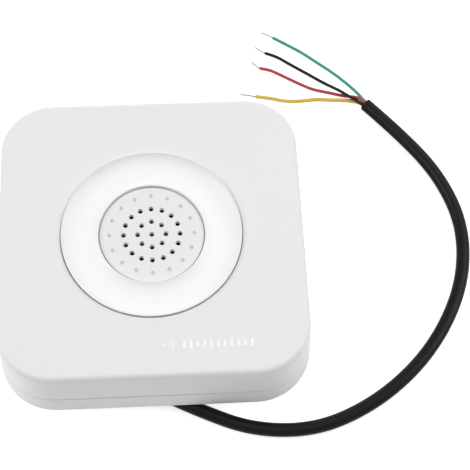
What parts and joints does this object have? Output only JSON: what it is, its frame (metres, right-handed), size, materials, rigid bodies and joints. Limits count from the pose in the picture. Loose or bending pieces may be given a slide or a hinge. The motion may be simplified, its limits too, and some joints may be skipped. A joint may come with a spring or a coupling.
{
  "type": "wired doorbell chime",
  "caption": "Square white wired door chime with rounded corners, a round dished ring around a perforated speaker grille and a short black cable with bare-ended cores.",
  "frame": {"origin": "centre of the back face that lies on the wall", "axes": "+Z out of the face, +Y up on the wall, +X to the right as seen from the front"},
  "size_m": [0.1399, 0.1379, 0.0267],
  "materials": {
    "white_case": "fine satin moulded surface",
    "grey_white_bracket": "satin moulded surface",
    "gloss_white_ring": "polished",
    "white_grille": "fine satin moulded surface",
    "white_mark": "smooth raised print",
    "black_grommet": "soft matte",
    "black_jacket": "soft satin extruded jacket",
    "black_clamp": "moulded",
    "zinc_steel": "bright zinc",
    "green_board": "solder mask over glass laminate",
    "ivory_connector": "moulded nylon",
    "tinned_metal": "tin plated",
    "green_insulation": "extruded",
    "black_insulation": "extruded",
    "red_insulation": "extruded",
    "yellow_insulation": "extruded",
    "tinned_copper": "tinned bare wire",
    "black_foam": "open cell foam",
    "magnet": "sintered and plated",
    "enamelled_copper": "enamelled winding",
    "clear_film": "thin pressed film",
    "brown_laminate": "paper laminate",
    "black_epoxy": "moulded epoxy",
    "black_ceramic": "glazed chip",
    "tan_ceramic": "fired chip",
    "capacitor_sleeve": "shrunk sleeve on a metal can"
  },
  "bodies": {
    "bracket": {"wall_bracket": "grey_white_bracket"},
    "case": {"amplifier_chip": "black_epoxy", "board_header": "ivory_connector", "board_screws": "zinc_steel", "cable_clamp": "black_clamp", "cable_grommet": "black_grommet", "cable_jacket": "black_jacket", "cable_tail": "black_jacket", "chip_capacitors": "tan_ceramic", "chip_legs": "tinned_metal", "chip_resistors": "black_ceramic", "circuit_board": "green_board", "clamp_screws": "zinc_steel", "conductor_black": "tinned_copper", "conductor_green": "tinned_copper", "conductor_red": "tinned_copper", "conductor_yellow": "tinned_copper", "cone_surround": "clear_film", "core_black": "black_insulation", "core_green": "green_insulation", "core_red": "red_insulation", "core_yellow": "yellow_insulation", "filter_capacitors": "capacitor_sleeve", "header_pins": "tinned_metal", "inner_lead_black": "black_insulation", "inner_lead_green": "green_insulation", "inner_lead_red": "red_insulation", "inner_lead_yellow": "yellow_insulation", "lead_plug": "ivory_connector", "protection_diodes": "black_epoxy", "rear_base": "white_case", "sound_chip": "black_epoxy", "speaker_frame": "zinc_steel", "speaker_gasket": "black_foam", "speaker_lead_black": "black_insulation", "speaker_lead_red": "red_insulation", "speaker_magnet": "magnet", "speaker_pad": "black_foam", "speaker_terminal": "brown_laminate", "speaker_top_plate": "zinc_steel", "speaker_yoke": "zinc_steel", "voltage_regulator": "black_epoxy"},
    "cover": {"front_cover": "white_case", "dish_ring": "gloss_white_ring", "speaker_grille": "white_grille", "relief_mark": "white_mark"},
    "cone": {"speaker_cone": "clear_film", "voice_coil": "enamelled_copper"}
  },
  "joints": [
    {"name": "base_unhook", "type": "slide", "parent": "bracket", "child": "case", "axis": [0, 1, 0], "range_m": [0, 0.008]},
    {"name": "cover_lift", "type": "slide", "parent": "case", "child": "cover", "axis": [0, 0, 1], "range_m": [0, 0.025]},
    {"name": "cone_travel", "type": "slide", "parent": "case", "child": "cone", "axis": [0, 0, 1], "range_m": [-0.0004, 0.0004], "stiffness_N_per_m": 400, "deforming": ["cone_surround"]}
  ]
}
